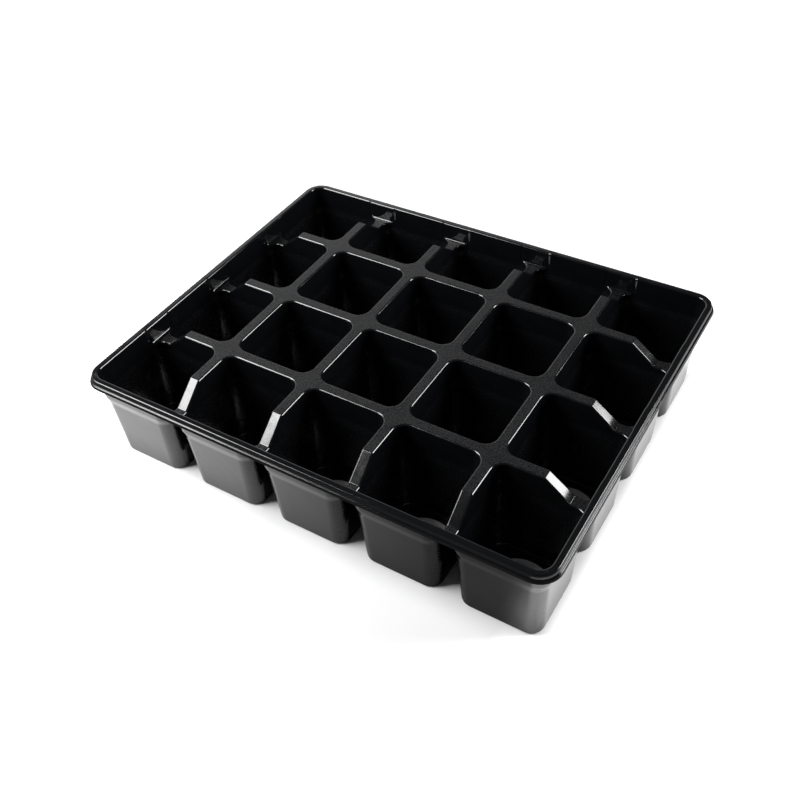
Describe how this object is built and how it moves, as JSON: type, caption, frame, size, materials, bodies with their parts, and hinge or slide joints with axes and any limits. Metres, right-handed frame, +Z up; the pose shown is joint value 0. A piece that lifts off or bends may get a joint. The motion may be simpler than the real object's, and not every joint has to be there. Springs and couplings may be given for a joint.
{
  "type": "thermoformed plant pot carrier tray",
  "caption": "Shallow black thermoformed carrier tray with square pot cells, flat webs, a turned-down rim and a large round hole in each cell floor.",
  "frame": {"origin": "middle of the footprint, on the surface that the tray stands on", "axes": "+X along the side with the greater number of cells, +Y along the other side, towards the back of the picture, +Z up, out of the cells"},
  "size_m": [0.4062, 0.3262, 0.0824],
  "materials": {
    "sheet": "satin"
  },
  "bodies": {
    "root": {"tray": "sheet"}
  },
  "joints": []
}
